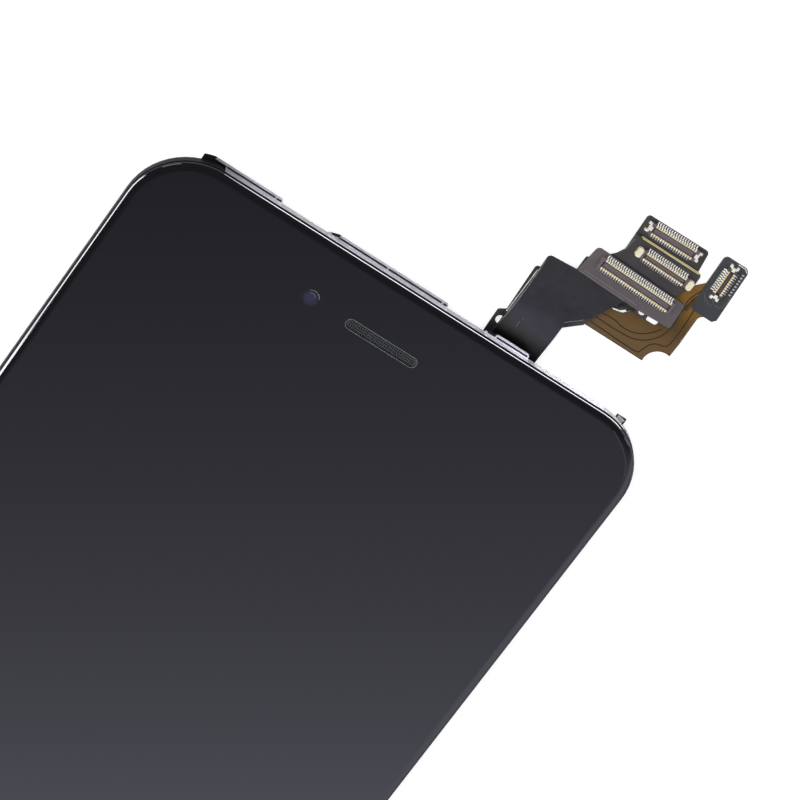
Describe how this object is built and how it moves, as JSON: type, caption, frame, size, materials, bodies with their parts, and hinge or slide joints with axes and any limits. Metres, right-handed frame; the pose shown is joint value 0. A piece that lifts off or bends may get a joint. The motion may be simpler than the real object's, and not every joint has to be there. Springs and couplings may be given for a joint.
{
  "type": "phone lcd screen assembly",
  "caption": "Flat phone screen: dark glass on a display module in a thin bezel frame, with flexible circuits running out past the top edge to board connectors.",
  "frame": {"origin": "middle of the bounding box in plan, on the surface that the assembly lies on", "axes": "+X to the right seen from the glass side with the phone's top up, +Y towards the phone's top edge and the connectors, +Z out of the glass"},
  "size_m": [0.0768, 0.1824, 0.0046],
  "materials": {
    "black_glass": "polished, black printed behind",
    "clear_bond": "clear",
    "cell": "smooth, dark polariser",
    "light_guide": "smooth white",
    "steel_tray": "fine grain",
    "steel_plate": "fine grain",
    "screw_steel": "plain",
    "bezel_plastic": "fine moulded grain",
    "hook_steel": "satin",
    "mesh_steel": "woven",
    "foam": "matt",
    "module_plastic": "matt",
    "lens": "coated",
    "film": "satin film",
    "flex_purple": "satin coverlay",
    "flex_black": "satin coverlay",
    "flex_amber": "clear amber film over copper",
    "stiffener_grey": "matt",
    "stiffener_amber": "matt",
    "connector_plastic": "moulded",
    "gold_contacts": "plated",
    "silver_caps": "plated, soft",
    "button_gloss": "polished",
    "ring_steel": "dark satin"
  },
  "bodies": {
    "panel": {"cover_glass": "black_glass", "optical_adhesive": "clear_bond", "lcd_cell": "cell", "light_guide": "light_guide", "backlight_tray": "steel_tray", "shield_plate": "steel_plate", "shield_screws": "screw_steel", "bezel_frame": "bezel_plastic", "top_hook_strip": "hook_steel", "side_clips": "hook_steel", "bottom_screw_tabs": "hook_steel", "earpiece_mesh": "mesh_steel", "earpiece_gasket": "foam", "ear_speaker": "module_plastic", "front_camera": "module_plastic", "camera_lens": "lens", "camera_ring": "foam", "sensor_holder": "module_plastic", "light_sensor": "module_plastic", "microphone": "gold_contacts", "top_bracket": "steel_plate", "top_bracket_screws": "screw_steel", "lcd_flex": "flex_purple", "lcd_flex_film": "film", "lcd_foil": "film", "lcd_stiffener": "stiffener_grey", "lcd_connector": "connector_plastic", "lcd_contacts": "gold_contacts", "touch_flex": "flex_black", "touch_stiffener": "stiffener_amber", "touch_connector": "connector_plastic", "touch_contacts": "gold_contacts", "touch_end_caps": "silver_caps", "sensor_flex": "flex_black", "sensor_stiffener": "stiffener_grey", "sensor_connector": "connector_plastic", "sensor_contacts": "gold_contacts", "sensor_end_caps": "silver_caps", "home_flex": "flex_amber", "home_pad": "stiffener_grey", "home_stiffener": "stiffener_grey", "home_connector": "connector_plastic", "home_contacts": "gold_contacts", "home_end_clips": "silver_caps", "home_ring": "ring_steel", "home_gasket": "foam", "home_switch": "screw_steel", "home_bracket": "steel_plate", "home_bracket_screws": "screw_steel"},
    "home_button": {"home_button": "button_gloss"}
  },
  "joints": [
    {"name": "home_press", "type": "slide", "parent": "panel", "child": "home_button", "axis": [0, 0, -1], "range_m": [0, 0.00025], "stiffness_N_per_m": 2000}
  ]
}
